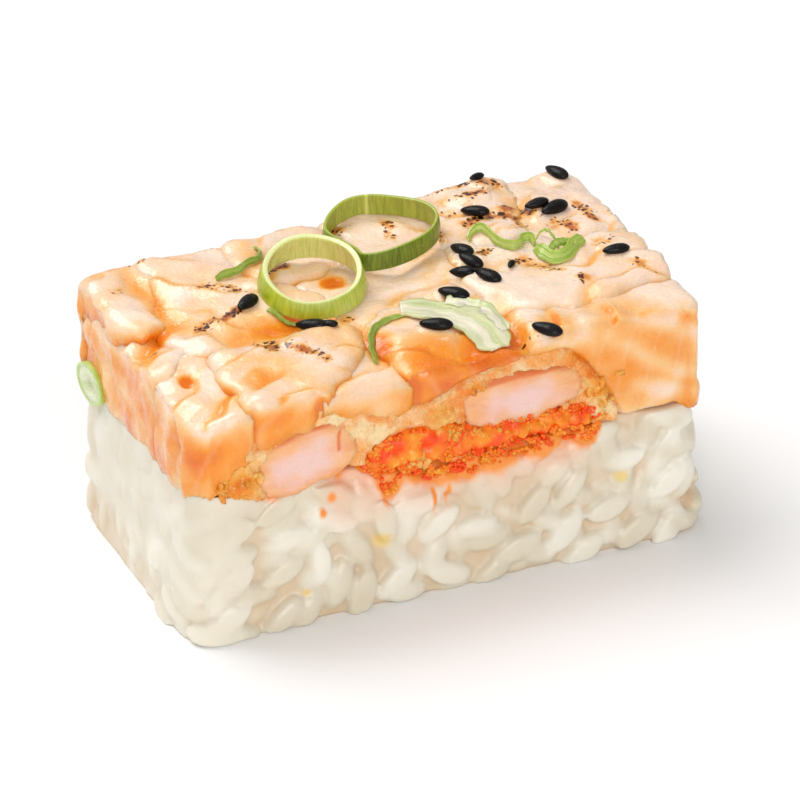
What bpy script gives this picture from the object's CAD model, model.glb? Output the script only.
"""Torched pressed sushi: a block of pressed rice with roe and battered prawn in it, covered with
seared salmon slices and topped with sesame seeds and cut spring onion. Sizes are in millimetres
and multiplied by MM."""

import math
import random

import bpy
import numpy as np
from mathutils import Euler, Matrix, Vector, noise
from mathutils.bvhtree import BVHTree
from mathutils.kdtree import KDTree


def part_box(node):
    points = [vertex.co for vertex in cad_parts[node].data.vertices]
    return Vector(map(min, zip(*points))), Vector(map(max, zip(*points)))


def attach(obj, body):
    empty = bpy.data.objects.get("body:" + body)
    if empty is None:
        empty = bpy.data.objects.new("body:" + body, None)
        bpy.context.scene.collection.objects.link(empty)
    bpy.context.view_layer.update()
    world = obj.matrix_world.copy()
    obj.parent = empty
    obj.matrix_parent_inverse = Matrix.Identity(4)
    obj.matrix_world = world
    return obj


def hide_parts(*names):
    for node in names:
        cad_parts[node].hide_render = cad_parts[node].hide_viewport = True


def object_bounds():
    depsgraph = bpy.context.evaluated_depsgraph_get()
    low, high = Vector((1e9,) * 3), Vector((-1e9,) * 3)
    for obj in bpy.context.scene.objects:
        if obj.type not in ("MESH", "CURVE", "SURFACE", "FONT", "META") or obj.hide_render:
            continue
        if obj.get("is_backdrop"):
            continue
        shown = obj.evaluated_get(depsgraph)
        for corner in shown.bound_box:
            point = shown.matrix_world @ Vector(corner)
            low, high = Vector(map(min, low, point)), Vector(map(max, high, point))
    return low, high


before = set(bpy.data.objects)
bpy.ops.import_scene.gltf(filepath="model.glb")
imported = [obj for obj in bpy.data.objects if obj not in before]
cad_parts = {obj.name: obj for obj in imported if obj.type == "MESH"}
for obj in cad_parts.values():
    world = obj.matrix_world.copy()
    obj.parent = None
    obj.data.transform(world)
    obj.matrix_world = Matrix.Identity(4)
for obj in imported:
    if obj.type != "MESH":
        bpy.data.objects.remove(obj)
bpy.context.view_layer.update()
MM = 0.001

# Rice: cooked short grains pressed in a box mould. The grains on the four sides are squeezed
# flush with the mould and stick together; roe sauce has run into the top of the front.
RICE_X, RICE_Y, RICE_TOP, RICE_FLARE, RICE_CORNER = 27.6, 15.25, 14.7, 1.4, 3.2
GRAIN_SIZE = (5.9, 2.9, 2.7)
GRAIN_LAYERS = ((0.85, 2.2, 0.0, 5000), (1.35, 2.0, 1.55, 4000), (2.0, 1.8, 1.2, 4000))
RICE_STAINS = ((-19.2, 14.9, 1.0, 0.8), (-11.8, 15.3, 0.6, 0.8), (-13.0, 13.3, 0.5, 0.6), (-14.0, 11.8, 0.4,
    0.5), (-1.9, 10.6, 0.3, 1.6), (-0.4, 10.9, 0.3, 1.4))
ROE_DRIPS = ((-9.6, 15.6), (-8.2, 14.6), (-7.2, 12.1), (-6.3, 12.4), (-5.4, 14.3), (-3.6, 13.4), (-2.2,
    12.7), (0, 13.2), (2, 12.5), (3.6, 13.3), (5.2, 13.0), (7.4, 13.9), (9.6, 13.2), (11.8, 14.0), (13.4,
    13.9), (15.2, 13.0), (16.2, 14.4))
RICE_YELLOW = ((-7.6, 7.2, 1.1, 1.2), (18.6, 8.2, 0.9, 0.8), (-16.0, 3.4, 0.6, 0.5))


def pick(*pieces):
    """Selects these pieces alone, the first one active."""
    if bpy.context.object and bpy.context.object.mode != 'OBJECT':
        bpy.ops.object.mode_set(mode='OBJECT')
    bpy.ops.object.select_all(action='DESELECT')
    for piece in pieces:
        piece.select_set(True)
    bpy.context.view_layer.objects.active = pieces[0]


def new_piece(name):
    """Names the primitive that was just added and puts its place in its mesh."""
    piece = bpy.context.object
    piece.name = piece.data.name = name
    pick(piece)
    bpy.ops.object.transform_apply(location=True, rotation=True, scale=True)
    return piece


def own_copy(piece):
    """A copy of a piece with a mesh of its own."""
    made = piece.copy()
    made.data = piece.data.copy()
    bpy.context.collection.objects.link(made)
    return made


def join_all(*pieces):
    """Joins these pieces into the first and shades it smooth."""
    pick(*pieces)
    if len(pieces) > 1:
        bpy.ops.object.join()
    bpy.ops.object.shade_smooth()


def moved(*place):
    """A shift to this place in millimetres."""
    return Matrix.Translation(Vector(place) * MM)


def spun(axis, degrees):
    """A turn about one axis."""
    return Matrix.Rotation(math.radians(degrees), 4, axis)


def leaned(about_x, about_y):
    """A turn about X and then about Y, in degrees."""
    return Euler((math.radians(about_x), math.radians(about_y), 0)).to_matrix().to_4x4()


def any_turn():
    """A random turn for something that may lie any way round."""
    return Euler([random.uniform(0, 6) for _ in range(3)]).to_matrix().to_4x4()


def open_selected(piece, kind, chosen):
    """Opens a mesh for editing with those of its edges or faces selected that pass a test."""
    pick(piece)
    bpy.ops.object.mode_set(mode='EDIT')
    bpy.ops.mesh.select_mode(type=kind)
    bpy.ops.mesh.select_all(action='DESELECT')
    bpy.ops.object.mode_set(mode='OBJECT')
    for part in piece.data.edges if kind == 'EDGE' else piece.data.polygons:
        part.select = chosen(part)
    bpy.ops.object.mode_set(mode='EDIT')


def apply_modifier(piece, kind, **settings):
    """Adds one modifier with these settings and applies it."""
    pick(piece)
    modifier = piece.modifiers.new(kind.title(), kind)
    for key, value in settings.items():
        setattr(modifier, key, value)
    bpy.ops.object.modifier_apply(modifier=modifier.name)


def smooth(piece, rounds):
    """Evens out a surface."""
    apply_modifier(piece, 'SMOOTH', factor=0.5, iterations=rounds)


def read_points(piece):
    """The mesh's points in millimetres and their normals."""
    count = len(piece.data.vertices)
    points, normals = np.empty(count * 3), np.empty(count * 3)
    piece.data.vertices.foreach_get("co", points)
    piece.data.vertices.foreach_get("normal", normals)
    return points.reshape(-1, 3) / MM, normals.reshape(-1, 3)


def write_points(piece, points):
    piece.data.vertices.foreach_set("co", (points * MM).ravel())
    piece.data.update()


def paint(piece, name, values):
    """Keeps one number per point for the material to read."""
    layer = piece.data.attributes.new(name, 'FLOAT', 'POINT')
    layer.data.foreach_set("value", np.asarray(values, float).ravel())


def soften(values):
    """A smooth step from 0 to 1."""
    values = np.clip(values, 0, 1)
    return values * values * (3 - 2 * values)


def lumps(points, size, seed=0.0):
    """Smooth noise from -1 to 1 with lumps of this size."""
    shift = Vector((seed * 13.7, seed * 7.1, seed * 3.3))
    return np.array([noise.noise(Vector(p) / size + shift) for p in points]) * 1.6


def spots(points, marks):
    """How far inside any of these ellipses on the front face (x, z, half x, half z) a point is."""
    inside = np.zeros(len(points))
    for x, z, half_x, half_z in marks:
        away = ((points[:, 0] - x) / half_x) ** 2 + ((points[:, 2] - z) / half_z) ** 2
        inside = np.maximum(inside, np.exp(-away))
    return inside * (points[:, 1] < -12)


def mould_depth(points):
    """How far each point is outside the four walls of the mould (inside is negative), and the way out."""
    x, y, z = points.T
    flare = RICE_FLARE * np.clip(1 - z / RICE_TOP, 0, 1) ** 0.9
    over_x = np.abs(x) - (RICE_X + flare - RICE_CORNER)
    over_y = np.abs(y) - (RICE_Y + 0.9 * flare - RICE_CORNER)
    out_x, out_y = np.maximum(over_x, 0), np.maximum(over_y, 0)
    reach = np.hypot(out_x, out_y) + 1e-9
    depth = reach + np.minimum(np.maximum(over_x, over_y), 0) - RICE_CORNER
    return depth, np.c_[np.sign(x) * out_x / reach, np.sign(y) * out_y / reach]


def wall_place(along):
    """A place on the mould's wall, this far round it from the front left corner, and its heading."""
    turn, x, y = -90.0, -RICE_X + RICE_CORNER, -RICE_Y + RICE_CORNER
    arc = math.pi / 2 * RICE_CORNER
    for straight in (RICE_X, RICE_Y, RICE_X, RICE_Y):
        straight = 2 * (straight - RICE_CORNER)
        heading = math.radians(turn + 90)
        step = min(along, straight)
        x += math.cos(heading) * step
        y += math.sin(heading) * step
        along -= straight
        if along < 0:
            break
        if along < arc:
            turn += along / arc * 90
            break
        along -= arc
        turn += 90
    return x, y, turn


random.seed(7)
bpy.ops.mesh.primitive_cube_add(size=1, location=(0, 0, RICE_TOP / 2 * MM), scale=(
    (2 * RICE_X - 2.6) * MM, (2 * RICE_Y - 2.6) * MM, RICE_TOP * MM))
rice = new_piece("pressed_rice")
heights = [corner.co.z for corner in rice.data.vertices]
open_selected(rice, 'EDGE', lambda edge: abs(heights[edge.vertices[0]] - heights[edge.vertices[1]]) > 5 * MM)
bpy.ops.mesh.bevel(offset=3.0 * MM, segments=5)
bpy.ops.object.mode_set(mode='OBJECT')
core, _ = read_points(rice)
spread = RICE_FLARE * (1 - core[:, 2] / RICE_TOP)
core[:, 0] *= 1 + spread / RICE_X
core[:, 1] *= 1 + 0.9 * spread / RICE_Y
core[:, 0] -= 0.7 * (core[:, 0] < 0)
write_points(rice, core)

bpy.ops.mesh.primitive_uv_sphere_add(segments=12, ring_count=8, radius=0.5 * MM)
grain = new_piece("grain")
shape, _ = read_points(grain)
shape = shape[:, [2, 0, 1]] * GRAIN_SIZE
shape[:, 1] += 0.35 * (shape[:, 0] / 3) ** 2
write_points(grain, shape)
grains, tones = [], []
around = 4 * (RICE_X + RICE_Y - 2 * RICE_CORNER) + 2 * math.pi * RICE_CORNER
taken = np.empty((0, 2))
for sink, apart, clear, tries in GRAIN_LAYERS:
    behind, taken_here = taken, np.empty((0, 2))
    for _try in range(tries):
        middle = np.array((random.uniform(0, around), random.uniform(0.3, RICE_TOP - 0.6)))
        lean = random.gauss(10, 45)
        half = 1.7 * np.array((math.cos(math.radians(lean)), math.sin(math.radians(lean))))
        spine = np.array([middle - half, middle - half / 2, middle, middle + half / 2, middle + half])
        if spine[:, 1].min() < -0.4 or spine[:, 1].max() > RICE_TOP - 0.3:
            continue
        if len(taken_here) and np.linalg.norm(spine[:, None] - taken_here[None], axis=2).min() < apart:
            continue
        if clear and np.linalg.norm(behind - middle, axis=1).min() < clear:
            continue
        taken_here = np.r_[taken_here, spine]
        x, y, turn = wall_place(middle[0])
        out = Vector((math.cos(math.radians(turn)), math.sin(math.radians(turn)), 0))
        reach = RICE_CORNER + RICE_FLARE * (1 - middle[1] / RICE_TOP) - sink - random.uniform(0, 0.5)
        place = Vector((x, y, middle[1])) + out * reach
        spin = (spun('Z', turn + 90) @ spun('Y', -lean) @ spun('Z', random.gauss(0, 9))
                @ Matrix.Rotation(random.uniform(-0.6, 0.6), 4, 'X'))
        tone = random.random() * (1.0 if sink < 1 else 0.6)
        whole = Matrix.Translation(place * MM) @ spin @ Matrix.Scale(random.uniform(0.9, 1.06), 4)
        tones += [(whole @ Vector((part * MM, 0, 0)), tone) for part in (-2.2, -1.1, 0, 1.1, 2.2)]
        piece = own_copy(grain)
        piece.data.transform(whole)
        grains.append(piece)
    taken = np.r_[taken, taken_here]
bpy.data.objects.remove(grain)
join_all(rice, *grains)
points, _ = read_points(rice)
px, py, pz = points.T
depth, out = mould_depth(points)
pressed = np.where(depth > -0.4, -0.4 * np.exp(-np.clip(depth + 0.4, 0, 9) / 0.4), depth)
points[:, :2] -= out * (depth - pressed)[:, None]
px += 0.8 * soften((-23 - px) / 4) * soften((py + 6) / 12)
rise = 1.5 * soften((-20 - px) / 6)
pz[:] = np.clip(pz, 0.0, RICE_TOP - 0.2 + rise)
pz += rise * (pz > RICE_TOP - 0.25) * 0.6
write_points(rice, points)
apply_modifier(rice, 'REMESH', mode='VOXEL', voxel_size=0.27 * MM)
smooth(rice, 1)
apply_modifier(rice, 'DECIMATE', ratio=0.55)
points, normals = read_points(rice)
px, py, pz = points.T
depth, out = mould_depth(points)
left_end = soften((-20.0 - px) / 5) * soften((pz - 2) / 5)
near_top = 0.5 * soften((pz - 8) / 5) * soften(0.5 + lumps(points, 5.0, 12))
smeared = np.clip(0.08 + 0.42 * left_end + near_top, 0, 0.8)
near_wall = soften((depth + 3.2) / 0.8)
points[:, :2] -= out * (depth * smeared * near_wall)[:, None]
write_points(rice, points)
spines = KDTree(len(tones))
for number, (place, _tone) in enumerate(tones):
    spines.insert(place, number)
spines.balance()
tone = []
for vertex in rice.data.vertices:
    near = [(1 / (away / MM + 0.15) ** 4, tones[number][1])
            for _place, number, away in spines.find_n(vertex.co, 6)]
    tone.append(sum(w * t for w, t in near) / sum(w for w, _t in near))
paint(rice, "tone", np.array(tone) * (1 - 0.8 * smeared) + 0.4 * 0.8 * smeared)
paint(rice, "hollow", soften((-depth * (1 - smeared) - 0.55) / 1.1) * (np.abs(normals[:, 2]) < 0.95))
sauce = soften((pz - 7.5) / 6.5) * soften((px + 16) / 5) * soften((17 - px) / 4)
paint(rice, "sauce", sauce * (py < -11) * (0.75 + 0.35 * lumps(points, 3.0, 1)))
edge = 0.4 * lumps(points, 1.2, 5) + pz - np.interp(px, *zip(*ROE_DRIPS)) + 2.1
drip = soften(edge / 2.2) * soften((px + 9.5) / 1.5) * soften((17 - px) / 1.5) * (py < -12)
paint(rice, "stain", np.maximum(spots(points, RICE_STAINS), 0.95 * drip))
paint(rice, "yellow", spots(points, RICE_YELLOW))
join_all(rice)


def srgb(red, green, blue):
    """A colour as seen on a screen, 0 to 255, in the linear values that a shader takes."""
    parts = [((c / 255 + 0.055) / 1.055) ** 2.4 if c > 10 else c / 3295 for c in (red, green, blue)]
    return (*parts, 1.0)


def put(tree, kind, sockets=None, **settings):
    """Adds a node; a socket gets a link where its value is another node's output."""
    made = tree.nodes.new(kind)
    for key, value in settings.items():
        setattr(made, key, value)
    for key, value in (sockets or {}).items():
        if isinstance(value, bpy.types.NodeSocket):
            tree.links.new(value, made.inputs[key])
        else:
            made.inputs[key].default_value = value
    return made


def mixed(tree, factor, first, second):
    """The colour output of a mix of two colours."""
    return put(tree, 'ShaderNodeMix', {0: factor, 6: first, 7: second}, data_type='RGBA').outputs[2]


def read(tree, name):
    """A number that was painted on the points."""
    return put(tree, 'ShaderNodeAttribute', attribute_name=name).outputs['Fac']


def combined(tree, how, first, second):
    """One operation on two numbers."""
    return put(tree, 'ShaderNodeMath', {0: first, 1: second}, operation=how).outputs[0]


def object_place(tree):
    """The object's own coordinates, in metres."""
    return put(tree, 'ShaderNodeTexCoord').outputs['Object']


def scaled(tree, value, low, high, to_low=0.0, to_high=1.0):
    """Stretches a value from one range to another, and keeps it inside."""
    return put(tree, 'ShaderNodeMapRange', {0: value, 1: low, 2: high, 3: to_low, 4: to_high}).outputs[0]


def tinted(tree, colour, mask, low, high, most, *shade):
    """Lays a shade over a colour as a mask, painted or given, goes from low to high."""
    mask = read(tree, mask) if isinstance(mask, str) else mask
    return mixed(tree, scaled(tree, mask, low, high, 0.0, most), colour, srgb(*shade))


def grain_noise(tree, scale, detail=3.0, place=None):
    """Noise on the object's own coordinates, scale in features per metre."""
    place = place or object_place(tree)
    return put(tree, 'ShaderNodeTexNoise', {'Vector': place, 'Scale': scale, 'Detail': detail}).outputs['Fac']


def new_material(name, **sockets):
    """A material with one Principled shader and these constant sockets."""
    material = bpy.data.materials.new(name)
    material.use_nodes = True
    shader = material.node_tree.nodes['Principled BSDF']
    for key, value in sockets.items():
        shader.inputs[key.replace('_', ' ')].default_value = value
    return material, material.node_tree, shader


def make_moist_film():
    """The uneven film of water and oil on cooked food: how rough it is, and its small ripples."""
    film = bpy.data.node_groups.new("moist_film", 'ShaderNodeTree')
    for name, kind, way in (("Scale", 'NodeSocketFloat', 'INPUT'), ("Wet", 'NodeSocketFloat', 'INPUT'),
                            ("Dry", 'NodeSocketFloat', 'INPUT'), ("Roughness", 'NodeSocketFloat', 'OUTPUT'),
                            ("Height", 'NodeSocketFloat', 'OUTPUT')):
        film.interface.new_socket(name=name, in_out=way, socket_type=kind)
    given, result = put(film, 'NodeGroupInput'), put(film, 'NodeGroupOutput')
    place = object_place(film)
    broad = put(film, 'ShaderNodeTexNoise', {'Vector': place, 'Scale': given.outputs['Scale'], 'Detail': 2.0})
    finer = combined(film, 'MULTIPLY', given.outputs['Scale'], 4.0)
    fine = put(film, 'ShaderNodeTexNoise', {'Vector': place, 'Scale': finer, 'Detail': 3.0})
    rough = put(film, 'ShaderNodeMapRange', {0: broad.outputs['Fac'], 1: 0.4, 2: 0.62,
                                             3: given.outputs['Wet'], 4: given.outputs['Dry']})
    both = combined(film, 'ADD', broad.outputs['Fac'], fine.outputs['Fac'])
    film.links.new(rough.outputs[0], result.inputs['Roughness'])
    film.links.new(both, result.inputs['Height'])
    return film


moist_film = make_moist_film()


def add_surface(tree, shader, colour, scale, wet, dry, bump):
    """Puts a colour on a shader, and the moist film on its roughness and relief."""
    tree.links.new(colour, shader.inputs['Base Color'])
    film = put(tree, 'ShaderNodeGroup', node_tree=moist_film)
    for key, value in (("Scale", scale), ("Wet", wet), ("Dry", dry)):
        film.inputs[key].default_value = value
    tree.links.new(film.outputs['Roughness'], shader.inputs['Roughness'])
    relief = put(tree, 'ShaderNodeBump',
                 {'Height': film.outputs['Height'], 'Strength': bump, 'Distance': 0.2 * MM})
    tree.links.new(relief.outputs['Normal'], shader.inputs['Normal'])


def finish_piece(piece, material, slot_name, *nodes):
    """Gives a piece its material, lets it ride and hides the solids that it stands for."""
    piece.data.materials.clear()
    piece.data.materials.append(material)
    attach(piece, "root")
    if nodes:
        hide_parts(*nodes)


cooked_rice, tree, shader = new_material(
    "cooked_rice", Subsurface_Weight=0.35, Subsurface_Scale=1.2 * MM,
    Subsurface_Radius=(1.0, 0.85, 0.6), Coat_Weight=0.25, Coat_Roughness=0.2)
starch = scaled(tree, grain_noise(tree, 260), 0.35, 0.65)
colour = mixed(tree, starch, srgb(222, 210, 186), srgb(228, 219, 197))
colour = tinted(tree, colour, "tone", 0.25, 0.8, 1.0, 243, 237, 222)
colour = tinted(tree, colour, "hollow", 0.0, 1.0, 0.8, 222, 190, 150)
colour = tinted(tree, colour, "sauce", 0.05, 0.8, 0.85, 243, 194, 162)
colour = tinted(tree, colour, "stain", 0.15, 0.75, 1.0, 250, 152, 58)
colour = tinted(tree, colour, "yellow", 0.3, 0.8, 0.8, 240, 208, 120)
add_surface(tree, shader, colour, 420, 0.28, 0.5, 0.25)
finish_piece(rice, cooked_rice, "rice", "rice")

# Roe: a spoonful of orange flying-fish roe in sauce, squeezed out between the rice and the prawn.
# The eggs are under a millimetre wide; they show on the two cut faces and run down the rice.
ROE_EDGE = ((-9.6, 16.2), (-8, 17.9), (-6.3, 19.0), (-3.4, 18.5), (2, 17.5), (7.5, 17.5), (11.8, 17.5),
    (14.8, 17.3), (16.2, 16.2))

EGG_COUNT, EGG_RADIUS = 2300, 0.24
CUT_FACE = 15.3


def copy_solid(node, name, voxel, grow, rounds=4):
    """A fine closed copy of a node's loose triangles, a little swollen so that it meets its neighbours."""
    piece = own_copy(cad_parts[node])
    piece.parent = None
    piece.matrix_world = Matrix.Identity(4)
    piece.name = piece.data.name = name
    for layer in [a for a in piece.data.attributes if a.name.startswith(("UV", "Col"))]:
        piece.data.attributes.remove(layer)
    piece.data.materials.clear()
    pick(piece)
    bpy.ops.object.mode_set(mode='EDIT')
    bpy.ops.mesh.select_all(action='SELECT')
    bpy.ops.mesh.remove_doubles(threshold=0.001 * MM)
    bpy.ops.object.mode_set(mode='OBJECT')
    apply_modifier(piece, 'REMESH', mode='VOXEL', voxel_size=voxel * MM)
    smooth(piece, rounds)
    points, normals = read_points(piece)
    write_points(piece, points + normals * grow)
    join_all(piece)
    return piece


def press_flush(points, reach=CUT_FACE):
    """Brings the two cut faces to the knife's planes, with a little unevenness."""
    limit = reach + 0.1 * lumps(points, 2.0, 44)
    points[:, 1] = np.clip(points[:, 1], -limit, limit)


roe = copy_solid("roe", "roe_in_sauce", 0.3, 0.32)
points, normals = read_points(roe)
px, py, pz = points.T
points += normals * (0.22 * lumps(points, 0.9, 3))[:, None]
py += np.sign(py) * (np.abs(py) > 14) * (0.16 + 0.2 * lumps(points, 1.1, 2))
write_points(roe, points)
paint(roe, "shade", 0.35 + 0.4 * lumps(points, 1.8, 4))
bpy.ops.mesh.primitive_ico_sphere_add(subdivisions=1, radius=EGG_RADIUS * MM)
egg = new_piece("egg")
eggs = []
edge_x, edge_z = zip(*ROE_EDGE)
drip_x, drip_z = zip(*ROE_DRIPS)
while len(eggs) < EGG_COUNT:
    x = random.uniform(-9.7, 16.3)
    front = random.random() < 0.6
    top, low = np.interp(x, edge_x, edge_z), np.interp(x, drip_x, drip_z)
    z = low + (top - low) * random.random() ** 1.3
    if noise.noise(Vector((x * 0.9, z * 1.3, 3.0 + front))) < -0.12 * random.random():
        continue
    out = 15.12 + 0.12 * max(15 - z, 0) + random.uniform(-0.14, 0.08)
    piece = own_copy(egg)
    place = moved(x, -out if front else out, z)
    piece.data.transform(place @ any_turn() @ Matrix.Scale(random.uniform(0.7, 1.2), 4))
    shade = 0.33 + 0.6 * noise.noise(Vector((x * 0.55, z * 0.7, 1.0))) + random.gauss(0, 0.1)
    paint(piece, "shade", [shade] * len(piece.data.vertices))
    eggs.append(piece)
bpy.data.objects.remove(egg)
join_all(roe, *eggs)
wet_roe, tree, shader = new_material(
    "wet_roe", Subsurface_Weight=0.3, Subsurface_Scale=0.12 * MM, Subsurface_Radius=(1.0, 0.4, 0.1),
    Coat_Weight=0.1, Coat_Roughness=0.12, Specular_IOR_Level=0.3)
shade = read(tree, "shade")
colour = mixed(tree, scaled(tree, shade, 0.15, 0.55), srgb(254, 82, 16), srgb(255, 146, 34))
colour = tinted(tree, colour, shade, 0.6, 0.95, 1.0, 255, 196, 80)
flecks = scaled(tree, grain_noise(tree, 1700, 2.0), 0.62, 0.72, 0.0, 0.6)
colour = mixed(tree, flecks, colour, srgb(252, 196, 84))
add_surface(tree, shader, colour, 900, 0.2, 0.42, 0.2)
finish_piece(roe, wet_roe, "roe", "roe")

# Prawns: two battered prawns laid along the block and cut through with it, so that the front
# and back show their pale cut faces, with the pink skin as a thin line along the top.
for number, node in enumerate(("prawn_left", "prawn_right")):
    prawn = copy_solid(node, node.replace("prawn", "prawn_cut"), 0.3, (0.62, 0.5)[number], 2)
    points, normals = read_points(prawn)
    px, py, pz = points.T
    low, high = (np.array(corner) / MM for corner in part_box(node))
    middle, half = (low + high) / 2, (high - low) / 2
    across, up = (px - middle[0]) / half[0], (pz - middle[2]) / half[2]
    tilt = (0.32, 0.05)[number]
    up = up - tilt * across
    ring = np.hypot(across, up)
    cut = np.abs(normals[:, 1]) > 0.7
    bulge = 0.35 * soften(1 - ring) + 0.10 * lumps(points, 1.6, number)
    py += np.sign(normals[:, 1]) * cut * bulge
    points += normals * (0.22 * lumps(points, 2.2, 3 + number) + 0.14 * lumps(points, 0.9, 5))[:, None]
    press_flush(points)
    write_points(prawn, points)
    vein = np.exp(-((px + 12.1) / 0.22) ** 2) * (np.abs(pz - 19.5) < 1.1)
    paint(prawn, "skin", np.maximum(soften((up - 0.62) / 0.35) * soften((ring - 0.72) / 0.25), vein))
    heart = 1.25 - np.hypot(across + 0.05, up + 0.15) / 0.85 + 0.25 * lumps(points, 1.6, 9)
    paint(prawn, "heart", soften(heart))
    if number == 0:
        prawn_flesh, tree, shader = new_material(
            "prawn_flesh", Subsurface_Weight=0.4, Subsurface_Scale=1.5 * MM,
            Subsurface_Radius=(1.0, 0.6, 0.45), Coat_Weight=0.3, Coat_Roughness=0.2)
        strand = put(tree, 'ShaderNodeMapping', {
            'Vector': object_place(tree), 'Rotation': (0, math.radians(18), 0), 'Scale': (0.35, 0.6, 1.6)})
        strands = grain_noise(tree, 620, 2.0, strand.outputs[0])
        colour = mixed(tree, scaled(tree, strands, 0.38, 0.62), srgb(245, 182, 124), srgb(241, 164, 100))
        colour = tinted(tree, colour, "heart", 0.0, 1.0, 0.95, 241, 203, 194)
        blush = scaled(tree, grain_noise(tree, 260), 0.52, 0.7, 0.0, 0.5)
        colour = mixed(tree, blush, colour, srgb(246, 178, 136))
        colour = tinted(tree, colour, "skin", 0.15, 0.8, 0.9, 228, 112, 44)
        add_surface(tree, shader, colour, 700, 0.25, 0.5, 0.3)
    finish_piece(prawn, prawn_flesh, "prawn", node)

# Batter: the fried crumb crust round the prawns, torn and soaked with oil and sauce, so it goes
# from pale crumb through gold to toasted brown.
CRISP_SPOTS = ((-1.0, 19.6, 1.8, 1.8), (2.6, 21.8, 1.6, 0.9), (13.8, 22.8, 1.8, 1.0), (16.4, 20.5, 2.4,
    4.0), (-23.0, 17.0, 3.4, 3.2))
LOOSE_CRUMBS = ((-3.4, 15.1, 0.8, 0.45, 12), (-0.4, 17.2, 1.3, 0.5, 9), (3.2, 16.6, 1.8, 0.3, 6), (16.6,
    18.2, 0.7, 1.4, 12), (-22.2, 17.0, 1.0, 0.6, 8), (-24.1, 16.5, 0.45, 0.3, 9))
CRUMB_RADIUS = 0.42
CRUMB_SHAPE = ((0.8, 2.0), (0.5, 0.9), (0.6, 1.3))
batter = copy_solid("batter", "fried_batter", 0.27, 0.5, 1)
points, normals = read_points(batter)
px, py, pz = points.T
crisp = np.zeros(len(points))
for x, z, half_x, half_z in CRISP_SPOTS:
    crisp = np.maximum(crisp, soften(1.4 - np.hypot((px - x) / half_x, (pz - z) / half_z)))
crumb = lumps(points, 1.1, 6) * 0.7 + lumps(points, 2.4, 7) * 0.6
rough = crumb * (0.16 + 0.22 * crisp) + np.abs(lumps(points, 0.7, 8)) * (0.05 + 0.3 * crisp)
points += normals * rough[:, None]
press_flush(points, CUT_FACE - 0.08)
face = np.sign(py) * (np.abs(py) > 15)
craggy = 0.34 * lumps(points, 1.7, 29) + 0.12 * lumps(points, 0.7, 27)
py += face * (craggy + 0.55 * crisp * np.abs(lumps(points, 0.8, 28)))
write_points(batter, points)
paint(batter, "crumb", crumb * 0.5 + 0.5)
paint(batter, "crisp", crisp)
bpy.ops.mesh.primitive_ico_sphere_add(subdivisions=2, radius=CRUMB_RADIUS * MM)
crumb = new_piece("crumb")
points, normals = read_points(crumb)
write_points(crumb, points + normals * (0.16 * lumps(points, 0.35, 15))[:, None])
crumbs = []
for x, z, spread_x, spread_z, count in LOOSE_CRUMBS:
    for way in (-1, 1):
        for _crumb in range(count if way < 0 else count // 2):
            piece = own_copy(crumb)
            place = moved(random.gauss(x, spread_x), way * random.uniform(15.0, 15.25),
                          random.gauss(z, spread_z))
            turn = any_turn()
            size = [random.uniform(*ends) for ends in CRUMB_SHAPE]
            piece.data.transform(place @ turn @ Matrix.Diagonal((*size, 1)))
            paint(piece, "crisp", [1.0] * len(piece.data.vertices))
            paint(piece, "crumb", [random.uniform(0.5, 1.0)] * len(piece.data.vertices))
            crumbs.append(piece)
bpy.data.objects.remove(crumb)
join_all(batter, *crumbs)
fried_crust, tree, shader = new_material(
    "fried_crust", Subsurface_Weight=0.25, Subsurface_Scale=0.3 * MM, Subsurface_Radius=(1.0, 0.5, 0.2),
    Coat_Weight=0.2, Coat_Roughness=0.15, Specular_IOR_Level=0.35)
browning = grain_noise(tree, 420, 4.0)
soaked = mixed(tree, scaled(tree, browning, 0.38, 0.6), srgb(253, 170, 88), srgb(255, 222, 168))
soaked = tinted(tree, soaked, grain_noise(tree, 700), 0.54, 0.64, 0.7, 246, 138, 52)
colour = mixed(tree, scaled(tree, browning, 0.36, 0.5), srgb(244, 128, 20), srgb(253, 164, 50))
colour = tinted(tree, colour, browning, 0.5, 0.66, 1.0, 252, 188, 98)
colour = mixed(tree, read(tree, "crisp"), soaked, colour)
colour = mixed(tree, scaled(tree, read(tree, "crumb"), 0.05, 0.4, 0.2, 0.0), colour, srgb(232, 124, 44))
speck = scaled(tree, grain_noise(tree, 1900, 2.0), 0.6, 0.7, 0.0, 0.8)
speck = combined(tree, 'MULTIPLY', speck, scaled(tree, read(tree, "crisp"), 0.0, 1.0, 0.25, 1.0))
colour = mixed(tree, speck, colour, srgb(254, 208, 124))
add_surface(tree, shader, colour, 1100, 0.22, 0.55, 1.0)
finish_piece(batter, fried_crust, "batter", "batter")

# Salmon: raw slices laid over the filling and torched from above. The flame turns the top pale
# and leaves toasted streaks and black specks; the sides and creases stay orange and wet.
RAW_SPOTS = ((-24.6, -6.6, 24.6, 0.9, 0.9), (-4.4, 3.6, 26.0, 1.5, 1.0), (-20.0, 14.0, 25.0, 2.6, 0.5),
    (-23.5, 2.5, 24.5, 2.0, 0.6), (-20.5, -15.5, 18.5, 6.5, 0.8), (5.0, -14.0, 24.5, 4.8, 0.8), (-1.0,
    -13.0, 24.5, 4.0, 0.7), (-14.0, -15.5, 18.5, 3.5, 0.6), (20.0, -15.8, 21.0, 7.5, 0.65), (-1.5, -6.0,
    25.0, 2.2, 0.5), (12.5, -13.0, 25.0, 2.6, 0.55), (-4.6, -9.0, 25.0, 2.2, 0.55), (-10.6, 5.5, 25.0, 2.4,
    0.62), (-10.6, 1.1, 25.0, 2.6, 0.62))
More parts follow.
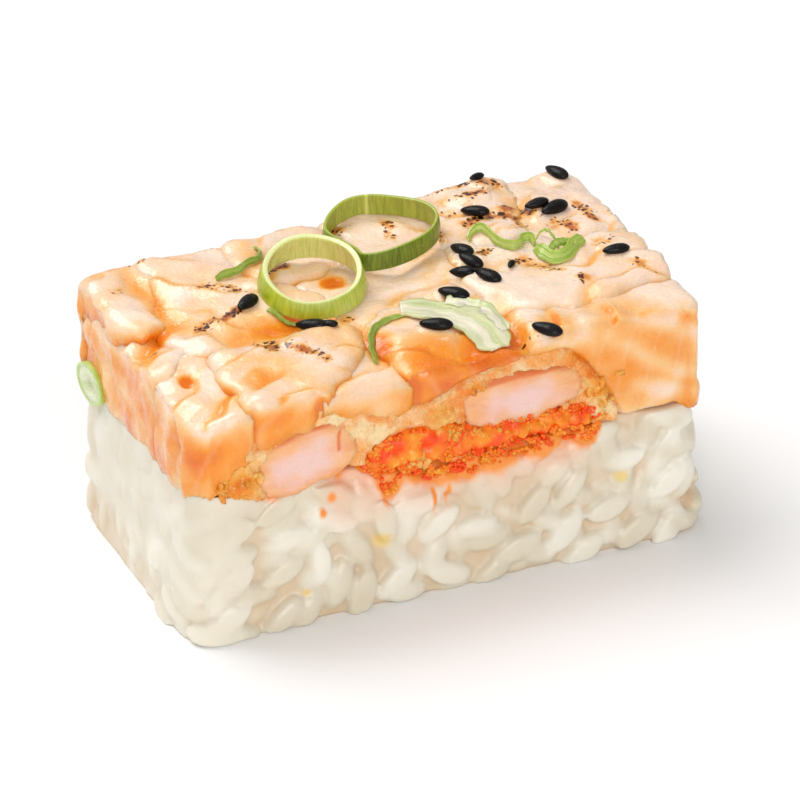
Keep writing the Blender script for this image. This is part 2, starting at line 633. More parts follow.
RELIEF = ((-13.5, -2.2, 6.5, 1.9, 8, -1.1, 0.85), (-13.5, -5.4, 6.0, 1.2, 6, 0.35, 0.0), (-24.5, -6.9, 0.7,
    0.6, 0, -0.7, 0.7), (-22.2, 6.5, 7.0, 1.2, 96, -0.8, 0.6), (-4.4, 3.6, 1.1, 0.8, 20, -0.4, 0.6), (2.0,
    -14.6, 7.0, 2.0, 0, -0.7, 0.3), (-24.6, 1.0, 3.0, 1.0, 30, -0.7, 0.6), (-5.2, -8.6, 4.2, 1.1, 100, -0.6,
    0.6), (8.6, -10.5, 4.0, 1.1, 80, -0.6, 0.45), (13.0, -1.5, 5.0, 1.0, 160, -0.35, 0.2), (-9.0, 9.5, 5.0,
    1.1, 20, -0.4, 0.25), (18.2, 9.0, 5.5, 0.9, 95, -0.4, 0.25), (17.5, -9.8, 2.6, 0.8, 60, -0.35, 0.3),
    (4.9, -13.2, 5.5, 1.6, 170, -0.9, 0.2))
CHAR_MARKS = (((14.4, 11.6), (15.9, 11.8), 1.0), ((16.9, 13.4), (18.3, 13.6), 1.0), ((10.9, 14.6), (12.7,
    14.6), (14.6, 14.4), (15.8, 14.5), 0.8), ((11.5, 12.3), (12.9, 11.7), 0.7), ((11.0, 10.6), (11.8, 10.0),
    0.65), ((12.3, 7.3), (13.4, 7.8), (14.7, 7.8), (15.9, 7.5), (17.1, 7.1), (17.7, 5.6), 0.85), ((17.1,
    8.4), (18.5, 8.6), (19.3, 8.0), 0.95), ((11.0, 1.5), (12.0, 2.0), 0.9), ((24.5, 7.5), (24.7, 6.3),
    (24.5, 4.7), (24.7, 3.9), 0.8), ((20.8, 5.3), (21.5, 4.2), (22.0, 2.8), 0.85), ((13.4, -1.2), (14.4,
    -1.5), (14.8, -2.2), (15.9, -3.2), (17.0, -5.1), 0.8), ((-20.1, 0.4), (-18.6, 0.8), (-17.4, 1.2),
    (-16.1, 1.7), (-15.3, 2.1), 0.9), ((-15.6, 7.2), (-14.0, 6.6), (-13.0, 4.3), 0.75), ((-17.0, 7.2),
    (-16.4, 7.9), 0.8), ((-23.9, 14.9), (-22.0, 14.9), (-20.4, 14.6), 0.75), ((-13.3, 14.8), (-12.5, 14.8),
    0.7), ((-16.4, -4.3), (-16.2, -5.3), (-15.9, -6.6), 0.9), ((-14.7, -4.4), (-14.9, -5.6), (-15.0, -6.9),
    0.9), ((-13.3, -6.7), (-12.8, -7.7), (-12.2, -8.6), (-11.7, -9.6), (-11.0, -10.7), 0.85), ((-9.6, 7.5),
    (-8.9, 7.4), (-7.9, 7.5), 0.95), ((-0.6, 11.9), (0.4, 12.3), 0.6), ((4.7, 11.1), (5.0, 10.2), 0.75),
    ((4.2, 9.2), (4.3, 8.5), 0.75), ((-6.4, -3.9), (-5.9, -3.6), 0.7), ((-25.2, 9.6), (-25.0, 10.2), 0.65),
    ((-25.8, -1.0), (-25.5, -0.6), 0.65), ((8.7, 7.0), (8.9, 5.6), 0.6), ((23.8, -1.2), (22.8, -1.8), 0.65),
    ((24.6, -6.6), (25.4, -8.6), 0.6), ((18.0, -7.4), (18.4, -7.2), 0.6), ((8.6, -14.2), (9.2, -14.0), 0.6))
FOLDS = (((15.8, 28.6), (20.6, 25.6), (27.3, 22.5)), ((17.5, 24.0), (22.3, 20.3), (26.2, 18.2)), ((20.6,
    18.1), (27.4, 15.4)))
PALE_FLAP = (((7.6, 17.6), (5.6, 23.6), 1.0),)
SLICE_GRAIN = {"left_flap": (20, 0.6), "end_back": (70, 0.9), "front_left": (12, 0.5), "front_middle": (-35,
    0.8), "right": (8, 0.5), "corner_right": (60, 0.6), "back_right": (15, 0.6), "back_centre": (-20, 0.6),
    "back_left": (30, 0.6), "top_left": (-48, 0.8), "front_right": (75, 1.0), "front_corner": (35, 1.0),
    "front_low": (10, 0.6), "middle": (25, 0.5)}


def near_marks(points, marks, width=0.85):
    """How close a point is to the torch's streaks, 1 on a streak's line and 0 two widths off."""
    close = np.zeros(len(points))
    for *path, strength in marks:
        for (x1, y1), (x2, y2) in zip(path, path[1:]):
            line = np.array((x2 - x1, y2 - y1))
            share = (points[:, 0] - x1) * line[0] + (points[:, 1] - y1) * line[1]
            share = np.clip(share / (line @ line), 0, 1)
            away = np.hypot(points[:, 0] - x1 - share * line[0], points[:, 1] - y1 - share * line[1])
            close = np.maximum(close, strength * np.exp(-(away / width) ** 2))
    return close


seared_salmon, tree, shader = new_material(
    "seared_salmon", Subsurface_Weight=0.4, Subsurface_Scale=1.6 * MM, Subsurface_Radius=(1.0, 0.6, 0.3),
    Coat_Weight=0.45, Coat_Roughness=0.06, Specular_IOR_Level=0.4)
patchy = grain_noise(tree, 210, 3.0)
raw = combined(tree, 'ADD', read(tree, "raw"), scaled(tree, patchy, 0.3, 0.7, -0.16, 0.16))
colour = mixed(tree, scaled(tree, raw, 0.0, 0.35), srgb(254, 223, 200), srgb(251, 192, 122))
colour = tinted(tree, colour, raw, 0.35, 0.7, 1.0, 246, 150, 34)
colour = tinted(tree, colour, raw, 0.7, 1.1, 1.0, 230, 104, 6)
colour = tinted(tree, colour, "fat", 0.2, 1.0, 0.12, 253, 226, 190)
blush = combined(tree, 'MULTIPLY', scaled(tree, grain_noise(tree, 120, 2.0), 0.46, 0.66, 0.0, 0.4),
                 scaled(tree, raw, 0.2, 0.5, 1.0, 0.0))
colour = mixed(tree, blush, colour, srgb(251, 206, 178))
scorch = read(tree, "char")
ragged = scaled(tree, grain_noise(tree, 750, 3.0), 0.36, 0.64, -0.3, 0.3)
halo = combined(tree, 'ADD', scorch, ragged)
colour = tinted(tree, colour, halo, 0.28, 0.7, 0.9, 246, 178, 84)
colour = tinted(tree, colour, halo, 0.6, 1.0, 0.9, 186, 90, 26)
place = object_place(tree)
uneven = put(tree, 'ShaderNodeTexNoise', {'Vector': place, 'Scale': 900.0, 'Detail': 2.0}).outputs['Color']
uneven = put(tree, 'ShaderNodeVectorMath', {0: uneven, 3: 0.0011}, operation='SCALE').outputs[0]
uneven = put(tree, 'ShaderNodeVectorMath', {0: place, 1: uneven}, operation='ADD').outputs[0]
dots = put(tree, 'ShaderNodeTexVoronoi', {'Vector': uneven, 'Scale': 1550.0, 'Randomness': 1.0},
           voronoi_dimensions='2D')
dot = scaled(tree, dots.outputs['Distance'], 0.12, 0.55, 0.36, -0.35)
burnt = combined(tree, 'ADD', scorch, dot)
burnt = combined(tree, 'ADD', burnt, scaled(tree, grain_noise(tree, 600, 1.0), 0.35, 0.65, -0.25, 0.25))
colour = tinted(tree, colour, burnt, 0.66, 0.92, 1.0, 118, 56, 18)
colour = tinted(tree, colour, burnt, 0.92, 1.2, 1.0, 44, 20, 8)
add_surface(tree, shader, colour, 560, 0.1, 0.46, 0.5)

slices = []
for number, (name, (turn, bow)) in enumerate(SLICE_GRAIN.items()):
    node = "salmon_" + name
    piece = copy_solid(node, "salmon_slice_" + name, 0.34, 0.0, 2)
    points, normals = read_points(piece)
    px, py, pz = points.T
    upward = (normals[:, 2] > 0.75) & (pz > pz.max() - 3.2)
    fit = points[upward]
    for _round in range(5):
        flat, *_rest = np.linalg.lstsq(np.c_[fit[:, :2], np.ones(len(fit))], fit[:, 2], rcond=None)
        off = fit[:, 2] - (fit[:, :2] @ flat[:2] + flat[2])
        fit = fit[np.abs(off) < max(0.35, np.percentile(np.abs(off), 80))]
    top = points[:, :2] @ flat[:2] + flat[2]
    over = pz - top - 0.25
    pz -= np.maximum(over, 0) * 0.9
    write_points(piece, points)
    smooth(piece, 3)
    points, normals = read_points(piece)
    px, py, pz = points.T
    within = (np.abs(px) < 27.0) & (np.abs(py) < 14.6)
    points[:, :2] += normals[:, :2] * (0.62 * within)[:, None]
    warp = np.c_[lumps(points, 3.2, 71), lumps(points, 3.2, 72)] * 0.6 * soften((pz - 17) / 5)[:, None]
    inside = soften(np.minimum(26.5 - np.abs(px), 14.4 - np.abs(py)) / 2.5)
    points[:, :2] += warp * inside[:, None]
    raised, raw_relief = np.zeros(len(points)), np.zeros(len(points))
    for x, y, long, wide, slant, lift, amount in RELIEF:
        a = math.radians(slant)
        u = (px - x) * math.cos(a) + (py - y) * math.sin(a)
        v = -(px - x) * math.sin(a) + (py - y) * math.cos(a)
        weight = np.exp(-(u / long) ** 4 - (v / wide) ** 2)
        raised += lift * weight
        raw_relief = np.maximum(raw_relief, amount * weight)
    pz += raised * soften((pz - top + 3) / 2.5)
    angle = math.radians(turn)
    along = px * math.cos(angle) + py * math.sin(angle)
    across = -px * math.sin(angle) + py * math.cos(angle)
    sheet = across + bow * 0.02 * (along - along.mean()) ** 2 + 0.35 * (pz - 20)
    sheet += 0.5 * lumps(points, 5, number)
    fat = np.clip(np.cos(sheet * 2 * math.pi / 3.1) * 4 - 3, 0, 1)
    groove = np.clip(np.cos(sheet * 2 * math.pi / 3.1) * 1.6 - 0.6, 0, 1)
    flake = (sheet / 4.6 + 0.3 * lumps(points, 3.5, number + 70)) % 1.0
    step = np.where(flake < 0.86, flake / 0.86, (1 - flake) / 0.14)
    torn = soften(0.45 + 1.1 * lumps(points, 6.0, number + 80)) * soften((normals[:, 2] - 0.2) / 0.4)
    fibre = lumps(np.c_[along / 5.0, across / 0.9, pz / 2.0], 1.0, number + 20)
    swell = 0.24 + 0.2 * lumps(points, 5.0, number + 10) + 0.18 * lumps(points, 2.1, number + 30)
    swell = swell + 0.05 * fibre - 0.04 * groove + 0.62 * (step - 0.5) * torn
    front = np.abs(py) > 14.6
    points += normals * (swell * np.where(front, 0.6, 1.0))[:, None]
    near_end = soften((np.abs(px) - 24.5) / 1.5)
    pz -= (1.1 + 0.5 * lumps(points, 1.6, 46)) * soften((-0.05 - normals[:, 2]) / 0.4) * near_end
    drape = soften((-13.2 - py) / 0.8) * soften((px + 26) / 3) * soften((-1 - px) / 7)
    pz -= (1.5 + 0.6 * lumps(points, 2.0, 47)) * soften((-0.05 - normals[:, 2]) / 0.4) * drape
    py -= 0.35 * drape
    press_flush(points, CUT_FACE + 0.4 * drape)
    ends = 27.85 + 0.8 * soften((pz - 15.5) / 4.0) + 0.12 * lumps(points, 2.5, 45)
    px[:] = np.clip(px, -ends, ends)
    write_points(piece, points)
    smooth(piece, 2)
    points, normals = read_points(piece)
    px, py, pz = points.T
    sunk = np.clip(top - pz + 0.3, 0, 20)
    side = soften((0.72 - normals[:, 2]) / 0.6)
    raw_spots = np.zeros(len(points))
    for x, y, z, size, amount in RAW_SPOTS:
        away = np.linalg.norm((points - (x, y, z)) * (1, 1, 1.2), axis=1)
        raw_spots = np.maximum(raw_spots, amount * soften(1.35 - away / size))
    others = [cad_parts["salmon_" + other].data for other in SLICE_GRAIN if other != name]
    corners, faces = [], []
    for mesh in others:
        faces += [[len(corners) + i for i in face.vertices] for face in mesh.polygons]
        corners += [v.co.copy() for v in mesh.vertices]
    neighbours = BVHTree.FromPolygons(corners, faces)
    crease = np.array([neighbours.find_nearest(Vector(p) * MM)[3] for p in points]) / MM
    crease = np.exp(-(crease / 0.55) ** 2) * np.clip(0.22 + 0.4 * lumps(points, 5.0, 60), 0, 0.5)
    crease *= soften((sunk - 0.1) / 0.6)
    mottle = 0.22 * lumps(points, 2.6, number + 40)
    torn_edge = 0.42 * torn * soften((flake - 0.8) / 0.1) + 0.42 * torn * soften((0.16 - flake) / 0.16)
    raw_relief = np.maximum(raw_relief, torn_edge)
    value = 0.02 + side * soften(sunk / 2.2) * (0.42 + mottle) + 0.16 * soften((sunk - 0.7) / 3)
    value = value + 0.2 * lumps(points, 4.0, number + 50) + crease
    value += 0.09 * soften((-2 - px) / 12) - 0.1 * soften((px - 4) / 12)
    value = np.maximum(value, raw_spots) + raw_relief * soften((pz - top + 4) / 2.5)
    pale = near_marks(points[:, [0, 2]], [(*fold, 1.0) for fold in FOLDS], 0.9) * soften((-14.5 - py) / 0.5)
    pale = np.maximum(pale, 0.7 * near_marks(points[:, [1, 2]], PALE_FLAP, 3.2) * soften((-26.2 - px) / 0.6))
    paint(piece, "raw", np.clip(value - 0.3 * pale, 0, 1))
    paint(piece, "fat", fat * (0.45 + 0.55 * side))
    toasted = 0.24 * soften((px - 9) / 5) * soften((py - 1) / 4) * soften(0.6 + lumps(points, 4.0, 90))
    marks = np.maximum(near_marks(points, CHAR_MARKS), toasted)
    paint(piece, "char", np.maximum(marks, 0.02) * soften((normals[:, 2] - 0.1) / 0.4))
    join_all(piece)
    finish_piece(piece, seared_salmon, "salmon", node)
    slices.append(piece)

# The top that the toppings lie on, for resting each of them on it.
bed_points, bed_faces = [], []
for piece in slices:
    start = len(bed_points)
    bed_points += [v.co.copy() for v in piece.data.vertices]
    bed_faces += [[start + i for i in f.vertices] for f in piece.data.polygons]
salmon_bed = BVHTree.FromPolygons(bed_points, bed_faces)


def surface(x, y):
    """Height of the salmon and its upward direction at a place, in millimetres."""
    hit, normal, _index, _far = salmon_bed.ray_cast(Vector((x, y, 60)) * MM, Vector((0, 0, -1)))
    if hit is None:
        return 26.0, Vector((0, 0, 1))
    return hit.z / MM, normal


# Sesame: black seeds, scattered on the wet top before it dries. Each is a flat drop with a
# pointed end, glossy where the glaze has wetted it.
SESAME = ((-14.1, 2.4, 32, 1), (-10.0, -4.2, -38, 1.1), (-8.6, -4.9, -55, 0.75), (0.9, -9.9, -31, 1.1),
    (5.1, -4.9, -48, 1.1, 0.55), (10.9, -14.3, -50, 1.08), (9.4, 2.5, -70, 1), (9.3, 0.1, -60, 0.95), (7.8,
    -0.9, -48, 0.95), (9.6, -3.3, -64, 1.05), (13.7, 8.6, -42, 1), (20.3, 7.9, 5, 0.9), (21.9, 7.0, 17,
    1.1), (23.4, -4.2, -4, 0.95), (25.2, 13.4, -70, 1), (12.6, -2.4, 50, 0.5), (16.6, 14.4, 15, 0.6))
SEED_SIZE = (3.1, 1.7, 1.2)
bpy.ops.mesh.primitive_uv_sphere_add(segments=20, ring_count=12, radius=0.5 * MM)
seed = new_piece("seed")
shape, _ = read_points(seed)
shape = shape[:, [2, 0, 1]]
point = soften(shape[:, 0] + 0.5)
shape[:, 1] *= 1 - 0.3 * point ** 1.4
shape[:, 2] *= 1 - 0.2 * point ** 1.4
shape *= SEED_SIZE
write_points(seed, shape)
seeds = []
for x, y, turn, size, *lift in SESAME:
    z, normal = surface(x, y)
    straight_up = Vector((0, 0, 1))
    stand = straight_up.rotation_difference((normal + straight_up).normalized()).to_matrix().to_4x4()
    piece = own_copy(seed)
    spin = spun('Z', turn + 180) @ Matrix.Rotation(random.uniform(-0.15, 0.15), 4, 'X')
    piece.data.transform(moved(x, y, z + 0.25 + sum(lift)) @ stand @ spin @ Matrix.Scale(size, 4))
    seeds.append(piece)
bpy.data.objects.remove(seed)
join_all(*seeds)
sesame = bpy.context.object
sesame.name = sesame.data.name = "sesame_seeds"
black_seed, tree, shader = new_material(
    "black_seed", Coat_Weight=0.2, Coat_Roughness=0.04, Specular_IOR_Level=0.12)
colour = mixed(tree, scaled(tree, grain_noise(tree, 700), 0.4, 0.65), srgb(8, 6, 7), srgb(20, 14, 14))
add_surface(tree, shader, colour, 1400, 0.25, 0.5, 0.5)
finish_piece(sesame, black_seed, None)

# Spring onion rings: two slices of the hollow green leaf, cut across. Fine fibres run through
# the wall from cut to cut; the cut rims and the inside are paler than the skin.
RING_FRONT = tuple((-6.9 + 5.5 * math.cos(a), 2.8 + 5.65 * math.sin(a))
                   for a in np.linspace(0, 2 * math.pi, 16, endpoint=False))
RING_BACK = ((-0.8, 3.8), (1.7, 3.1), (4.7, 3.5), (7.5, 4.9), (9.0, 6.9), (8.9, 9.1), (7.4, 11.3), (5.4,
    12.9), (3.4, 13.7), (1.3, 13.7), (-0.9, 12.4), (-2.4, 10.3), (-2.5, 8.6), (-1.9, 6.9), (-1.2, 5.3))
RINGS = (("onion_ring_front", RING_FRONT, (2.5, 0.6), 0.6, 9, -3, 0.6),
         ("onion_ring_back", RING_BACK, (2.3, 0.15), 0.1, 5, -4, 0.34))


def smooth_line(path, count, closed=False):
    """Even points on a smooth curve through the path, and its length."""
    path = [Vector(p) for p in path]
    if closed:
        path = path[-1:] + path + path[:2]
    else:
        path = [path[0] * 2 - path[1]] + path + [path[-1] * 2 - path[-2]]
    fine = []
    for a, b, c, d in zip(path, path[1:], path[2:], path[3:]):
        for step in range(24):
            t = step / 24
            bent = 2 * b + (c - a) * t + (2 * a - 5 * b + 4 * c - d) * t * t
            fine.append(0.5 * (bent + (3 * b - a - 3 * c + d) * t ** 3))
    fine.append(path[-2])
    lengths = np.r_[0, np.cumsum([(b - a).length for a, b in zip(fine, fine[1:])])]
    even = np.linspace(0, lengths[-1], count)
    x, y = (np.interp(even, lengths, [p[axis] for p in fine]) for axis in (0, 1))
    return np.c_[x, y], lengths[-1]


def round_edges(piece, width, angle):
    """Rounds the edges that turn by more than an angle."""
    apply_modifier(piece, 'BEVEL', width=width * MM, segments=2, limit_method='ANGLE',
                   angle_limit=math.radians(angle))


def add_fibre_map(piece, band):
    """Keeps (along the skin, across the band, 0) in millimetres on each point for the fibres."""
    layer = piece.data.attributes.new("band", 'FLOAT_VECTOR', 'POINT')
    layer.data.foreach_set("vector", np.asarray(band, float).ravel())


def make_fibres():
    """Fine parallel fibres in leaf skin, from the band coordinates: a mask from 0 to 1."""
    fibres = bpy.data.node_groups.new("leaf_fibres", 'ShaderNodeTree')
    fibres.interface.new_socket(name="Along", in_out='INPUT', socket_type='NodeSocketFloat')
    fibres.interface.new_socket(name="Fibre", in_out='OUTPUT', socket_type='NodeSocketFloat')
    given, result = put(fibres, 'NodeGroupInput'), put(fibres, 'NodeGroupOutput')
    band = put(fibres, 'ShaderNodeAttribute', attribute_name="band").outputs['Vector']
    parts = put(fibres, 'ShaderNodeSeparateXYZ', {0: band})
    dense = combined(fibres, 'MULTIPLY', parts.outputs['X'], given.outputs['Along'])
    slow = combined(fibres, 'MULTIPLY', parts.outputs['Y'], 0.35)
    place = put(fibres, 'ShaderNodeCombineXYZ', {0: dense, 1: slow})
    strands = put(fibres, 'ShaderNodeTexNoise', {'Vector': place.outputs[0], 'Scale': 1.0, 'Detail': 2.0})
    fibres.links.new(scaled(fibres, strands.outputs['Fac'], 0.36, 0.64), result.inputs['Fibre'])
    return fibres


leaf_fibres = make_fibres()


def leaf_material(name, density, *shades):
    """Cut leaf: skin with fibres, a paler cut rim and a pale inside, in four shades."""
    skin, skin_dark, rim, inside = (srgb(*shade) for shade in shades)
    material, tree, shader = new_material(
        name, Subsurface_Weight=0.3, Subsurface_Scale=0.8 * MM, Subsurface_Radius=(0.6, 1.0, 0.2),
        Coat_Weight=0.12, Coat_Roughness=0.12)
    fibre = put(tree, 'ShaderNodeGroup', node_tree=leaf_fibres)
    fibre.inputs['Along'].default_value = density
    colour = mixed(tree, fibre.outputs['Fibre'], skin, skin_dark)
    colour = mixed(tree, scaled(tree, grain_noise(tree, 240), 0.4, 0.7, 0.0, 0.35), colour, rim)
    paler = scaled(tree, fibre.outputs['Fibre'], 0.0, 1.0, 0.92, 0.55)
    colour = mixed(tree, combined(tree, 'MULTIPLY', read(tree, "inside"), paler), colour, inside)
    colour = mixed(tree, scaled(tree, read(tree, "rim"), 0.0, 1.0, 0.0, 0.85), colour, rim)
    colour = mixed(tree, read(tree, "split"), colour, srgb(226, 226, 130))
    add_surface(tree, shader, colour, 500, 0.25, 0.45, 0.15)
    ridges = put(tree, 'ShaderNodeBump',
                 {'Height': fibre.outputs['Fibre'], 'Strength': 0.35, 'Distance': 0.1 * MM})
    old = shader.inputs['Normal'].links[0].from_socket
    tree.links.new(old, ridges.inputs['Normal'])
    tree.links.new(ridges.outputs['Normal'], shader.inputs['Normal'])
    return material


light_leaf = leaf_material("light_leaf", 2.2, (194, 208, 60), (166, 186, 32),
    (236, 240, 180), (230, 232, 156))
dark_leaf = leaf_material("dark_leaf", 2.2, (122, 142, 30), (82, 104, 12),
    (172, 184, 66), (186, 190, 76))

for name, outline, (height, higher), cone, lean_x, lean_y, wall in RINGS:
    bpy.ops.mesh.primitive_circle_add(vertices=120, radius=1 * MM)
    ring = new_piece(name + "_leaf")
    bpy.ops.object.mode_set(mode='EDIT')
    for _step in range(8):
        bpy.ops.mesh.extrude_region_move(TRANSFORM_OT_translate={"value": (0, 0, MM / 8)})
    bpy.ops.object.mode_set(mode='OBJECT')
    line, _length = smooth_line(outline, 121, closed=True)
    centre = line.mean(0)
    points, _ = read_points(ring)
    px, py, pz = points.T
    rise = pz.copy()
    station = np.rint(np.arctan2(py, px) / (2 * math.pi) * 120).astype(int) % 120
    inward = centre - line[station]
    inward /= np.linalg.norm(inward, axis=1)[:, None]
    angle = np.arctan2(-inward[:, 1], -inward[:, 0])
    tall = height + higher * np.cos(angle - math.radians(66)) + 0.08 * np.sin(4 * angle + 1.3)
    points[:, :2] = line[station] - centre + inward * (cone * rise - 0.12 * np.sin(rise * math.pi))[:, None]
    pz[:] = rise * tall
    write_points(ring, points)
    add_fibre_map(ring, np.c_[np.cos(angle) * 11, rise * height, np.sin(angle) * 11])
    apply_modifier(ring, 'SOLIDIFY', thickness=wall * MM, offset=-1.0)
    round_edges(ring, min(0.16, wall * 0.3), 60)
    points, normals = read_points(ring)
    px, py, pz = points.T
    angle = np.arctan2(py, px)
    outward = normals[:, 0] * np.cos(angle) + normals[:, 1] * np.sin(angle)
    paint(ring, "inside", soften((-outward - 0.2) / 0.5))
    paint(ring, "rim", soften((np.abs(normals[:, 2]) - 0.45) / 0.4))
    paint(ring, "split", np.exp(-((angle - 1.42) / 0.022) ** 2) * (wall < 0.5))
    ring.data.transform(moved(*centre, 0) @ leaned(lean_x, lean_y))
    points, _ = read_points(ring)
    px, py, pz = points.T
    low = points[pz < pz.min() + 2.4]
    drop = min(p[2] - surface(p[0], p[1])[0] for p in low[::3])
    pz -= drop + 0.25
    write_points(ring, points)
    pick(ring)
    bpy.ops.object.shade_smooth_by_angle(angle=math.radians(40))
    finish_piece(ring, dark_leaf if wall < 0.5 else light_leaf, "spring_onion", name)

# Spring onion shreds: strips and curls of the same leaf that fell round the rings. Each follows
# its own path on the salmon, some flat and limp, some on edge, one thin loop standing up.
SHREDS = {
    "onion_curl": [
        (((10.8, 4.1), (11.4, 4.7), (12.6, 4.9), (13.1, 3.5), (13.5, 2.1), (14.1, 0.5), (15.0, 0.8),
          (16.0, 2.0), (16.8, 1.9), (16.6, 0.6)), 1.0, 0.2, 0.85, 0, "shred")],
    "onion_tuft": [
        (((16.4, 0.0), (16.6, -1.9), (17.4, -3.0), (18.8, -2.7), (19.9, -1.7), (21.4, -0.8)),
         1.5, 0.22, 0.5, 0.0, "shred"),
        (((16.5, 0.6), (17.2, 0.4), (17.9, -0.3), (18.5, -1.0)), 0.3, 0.2, 0.9, 1.9, "shred"),
        (((17.2, -1.4), (18.3, -1.2), (19.4, -1.1), (20.2, -1.9)), 0.9, 0.2, 0.7, 0.5, "shred")],
    "onion_shred": [
        (((-6.3, -11.4), (-5.9, -9.8), (-5.4, -8.3), (-4.6, -7.1), (-3.4, -6.4), (-2.2, -6.1), (-1.0, -6.3)),
         1.0, 0.25, 0.5, 0, "olive")],
    "onion_leaf": [
        (((-0.9, -5.2), (1.2, -6.0), (3.2, -7.4), (4.7, -9.8), (5.6, -12.0), (6.0, -14.0)),
         4.3, 0.3, 0.0, 0, "leaf"),
        (((3.9, -5.6), (5.4, -6.7), (6.5, -8.4), (7.2, -10.4), (7.4, -12.2)), 1.8, 0.28, 0.12, 0.2, "leaf")],
    "onion_strip": [
        (((-15.0, 8.3), (-12.9, 8.8), (-11.2, 9.2), (-9.9, 9.7), (-9.1, 10.8), (-9.2, 12.0)),
         1.0, 0.25, 0.6, 0, "olive")],
    "onion_sliver": [
        (((-12.7, 0.7), (-11.7, -0.4), (-10.5, -1.4), (-9.6, -1.8)), 0.6, 0.25, 0.4, 0, "olive")]}
shred_leaf = leaf_material("shred_leaf", 2.0, (178, 200, 84), (128, 162, 40),
    (216, 226, 130), (222, 226, 150))
olive_leaf = leaf_material("olive_leaf", 1.8, (152, 172, 62), (108, 134, 30),
    (196, 206, 110), (190, 204, 112))
limp_leaf = leaf_material("limp_leaf", 0.8, (166, 194, 62), (124, 162, 36),
    (238, 234, 196), (250, 240, 218))
for name, strips in SHREDS.items():
    rows, count, made = 9, 61, []
    for path, width, thick, stand, lift, kind in strips:
        bpy.ops.mesh.primitive_grid_add(x_subdivisions=count - 1, y_subdivisions=rows - 1, size=1 * MM)
        shred = new_piece(name + "_cut")
        line, length = smooth_line(path, count)
        points, _ = read_points(shred)
        px, py, pz = points.T
        column = np.rint((px + 0.5) * (count - 1)).astype(int)
        across = py
        ahead = np.gradient(line, axis=0)
        ahead /= np.linalg.norm(ahead, axis=1)[:, None]
        ends = np.minimum(np.arange(count), np.arange(count)[::-1]) / 6.0
        taper = np.clip(ends, 0.3, 1) ** 0.5 * (1 - 0.5 * np.linspace(0, 1, count) * (kind == "olive"))
        ground = np.array([surface(x, y)[0] for x, y in line])
        ground = np.convolve(np.pad(ground, 3, 'edge'), np.ones(7) / 7, 'valid')
        ground += lift * np.sin(np.linspace(0, math.pi, count)) ** 0.8
        slant = stand * math.pi / 2
        placed = np.empty_like(points)
        for i, (c, w) in enumerate(zip(column, across)):
            side = np.array((-ahead[c][1], ahead[c][0]))
            reach = w * width * taper[c]
            wave = (0.12 if kind == "leaf" else 0.05) * math.sin(c * 0.55 + w * 3)
            x, y = line[c] + side * (reach * math.cos(slant) + wave)
            if stand < 0.3:
                ruffle = 0.1 * math.sin(c * 0.21 + 2 * w) + (abs(w) * 2) ** 3 * 0.12
                base = surface(x, y)[0] + thick * 0.5 + 0.12 + ruffle + lift * (w + 0.5) * 2
            else:
                base = ground[c] + thick * 0.3 + (reach + width * taper[c] * 0.5) * math.sin(slant)
            placed[i] = x, y, base
        write_points(shred, placed)
        add_fibre_map(shred, np.c_[across * width * 2, column / count * length * 0.5, across * 0])
        if kind == "leaf":
            stripe = np.exp(-((across - 0.14 - 0.08 * np.sin(column * 0.07)) / 0.13) ** 2)
            stripe *= soften(column / 8)
            pale = 1.1 - 0.75 * stripe - 1.1 * soften((across - 0.34) / 0.1)
            paint(shred, "inside", np.clip(pale - 0.5 * soften((-0.4 - across) / 0.08), 0, 1))
            paint(shred, "rim", across * 0)
        else:
            depth = 0.6 if name == "onion_curl" else 0.2
            paint(shred, "inside", soften((0.32 - np.abs(across)) / 0.2) * depth)
            paint(shred, "rim", soften((np.abs(across) - 0.44) / 0.06) * 0.2)
        paint(shred, "split", across * 0)
        smooth(shred, 2)
        apply_modifier(shred, 'SOLIDIFY', thickness=thick * MM, offset=0.0)
        round_edges(shred, 0.1, 60)
        pick(shred)
        bpy.ops.object.mode_set(mode='EDIT')
        bpy.ops.mesh.select_all(action='SELECT')
        bpy.ops.mesh.normals_make_consistent(inside=False)
        bpy.ops.object.mode_set(mode='OBJECT')
        made.append(shred)
    pick(*made)
    if len(made) > 1:
        bpy.ops.object.join()
    bpy.ops.object.shade_smooth_by_angle(angle=math.radians(40))
    material = {"olive": olive_leaf, "shred": shred_leaf, "leaf": limp_leaf}[kind]
    finish_piece(made[0], material, "spring_onion", *([name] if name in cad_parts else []))

# A slice of the white end of the onion that has slid down the left side and sticks there,
# whitish with a green rim and a small hole where its core was.
bpy.ops.mesh.primitive_cylinder_add(vertices=48, radius=1 * MM, depth=1.0 * MM)
slice_side = new_piece("onion_side_slice")
open_selected(slice_side, 'FACE', lambda face: abs(face.normal.z) > 0.9)
for _step in range(4):
    bpy.ops.mesh.inset(thickness=0.16 * MM, depth=0.0, use_individual=True)
bpy.ops.mesh.inset(thickness=0.1 * MM, depth=-0.35 * MM, use_individual=True)
bpy.ops.object.mode_set(mode='OBJECT')
points, _ = read_points(slice_side)
px, py, pz = points.T
reach = np.hypot(px, py)
pz += 0.12 * np.sin(reach * 14) * np.sign(pz) * (reach < 0.95)
px *= 2.1
py *= 2.8
write_points(slice_side, points)
add_fibre_map(slice_side, np.c_[px, py, pz])
paint(slice_side, "inside", soften((0.93 - reach) / 0.2))
paint(slice_side, "rim", reach * 0)
paint(slice_side, "split", reach * 0)
round_edges(slice_side, 0.15, 50)
slice_side.data.transform(moved(-27.6, 11.0, 16.9) @ leaned(8, -28) @ leaned(0, -62))
pick(slice_side)
bpy.ops.object.shade_smooth_by_angle(angle=math.radians(40))
white_leaf = leaf_material("white_leaf", 1.5, (190, 212, 118), (166, 196, 86),
    (222, 232, 176), (234, 236, 212))
finish_piece(slice_side, white_leaf, "spring_onion", "onion_side")

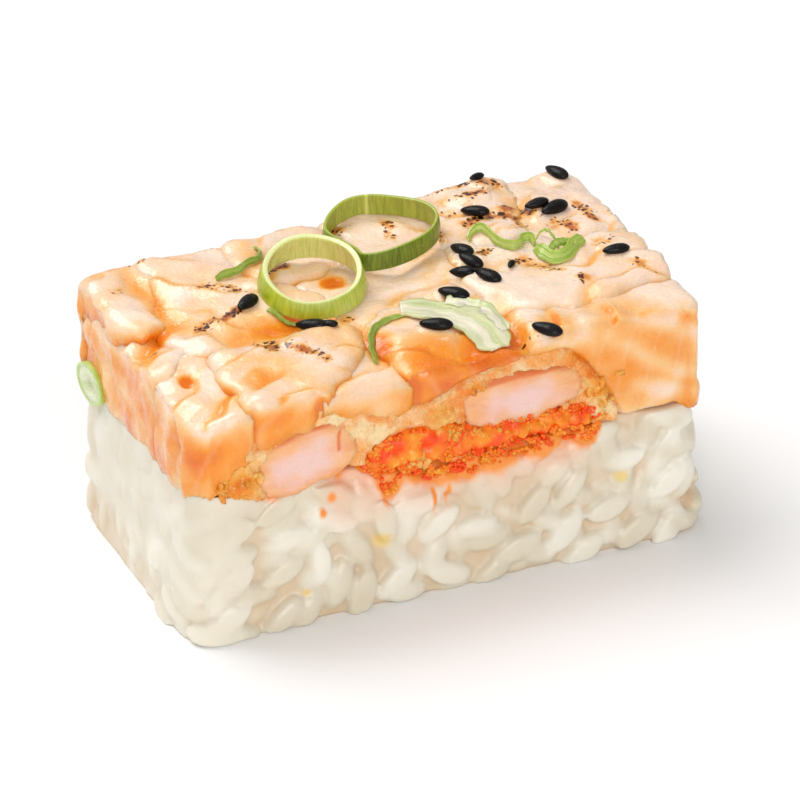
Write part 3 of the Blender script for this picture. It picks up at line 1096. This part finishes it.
# Table, light and camera: a plain pale floor, one large soft light above and behind to the
# left, a fill in front, and a long lens from the front left, a little above.
bpy.ops.mesh.primitive_plane_add(size=4, location=(0, 0, 0))
floor = bpy.context.object
floor.name = "floor"
white_floor, tree, shader = new_material("white_floor", Roughness=0.9)
shader.inputs['Base Color'].default_value = srgb(250, 250, 250)
floor.data.materials.append(white_floor)
floor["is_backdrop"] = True

world = bpy.data.worlds.new("studio")
bpy.context.scene.world = world
world.use_nodes = True
world.node_tree.nodes['Background'].inputs['Color'].default_value = (1, 1, 1, 1)
world.node_tree.nodes['Background'].inputs['Strength'].default_value = 0.38
LAMPS = (("soft_key", (-0.17, 0.27, 0.56), 0.45, 3.05), ("front_fill", (-0.15, -0.7, 0.4), 0.5, 3.0))
for name, place, size, power in LAMPS:
    lamp = bpy.data.lights.new(name, 'AREA')
    lamp.size, lamp.energy = size, power
    holder = bpy.data.objects.new(name, lamp)
    holder.location = place
    holder.rotation_euler = (Vector((0, 0, 0.015)) - Vector(place)).to_track_quat('-Z', 'Y').to_euler()
    bpy.context.collection.objects.link(holder)

azimuth, elevation, roll, distance = math.radians(-23.7), math.radians(27.9), math.radians(-1.0), 0.6
back = Vector((math.sin(azimuth) * math.cos(elevation), -math.cos(azimuth) * math.cos(elevation),
               math.sin(elevation)))
level = Vector((math.cos(azimuth), math.sin(azimuth), 0))
upright = back.cross(level)
right = level * math.cos(roll) + upright * math.sin(roll)
up = upright * math.cos(roll) - level * math.sin(roll)
lens = bpy.data.cameras.new("camera")
lens.sensor_width, lens.lens = 36, 5946 / 800 * 36
lens.shift_x, lens.shift_y = 0.01375, 0.00925
lens.clip_start, lens.clip_end = 0.01, 20
camera = bpy.data.objects.new("camera", lens)
facing = Matrix((right, up, back)).transposed().to_4x4()
camera.matrix_world = Matrix.Translation(Vector((0, 0, 0.013)) + back * distance) @ facing
bpy.context.collection.objects.link(camera)
bpy.context.scene.camera = camera
bpy.context.scene.view_settings.view_transform = 'Standard'

low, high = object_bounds()
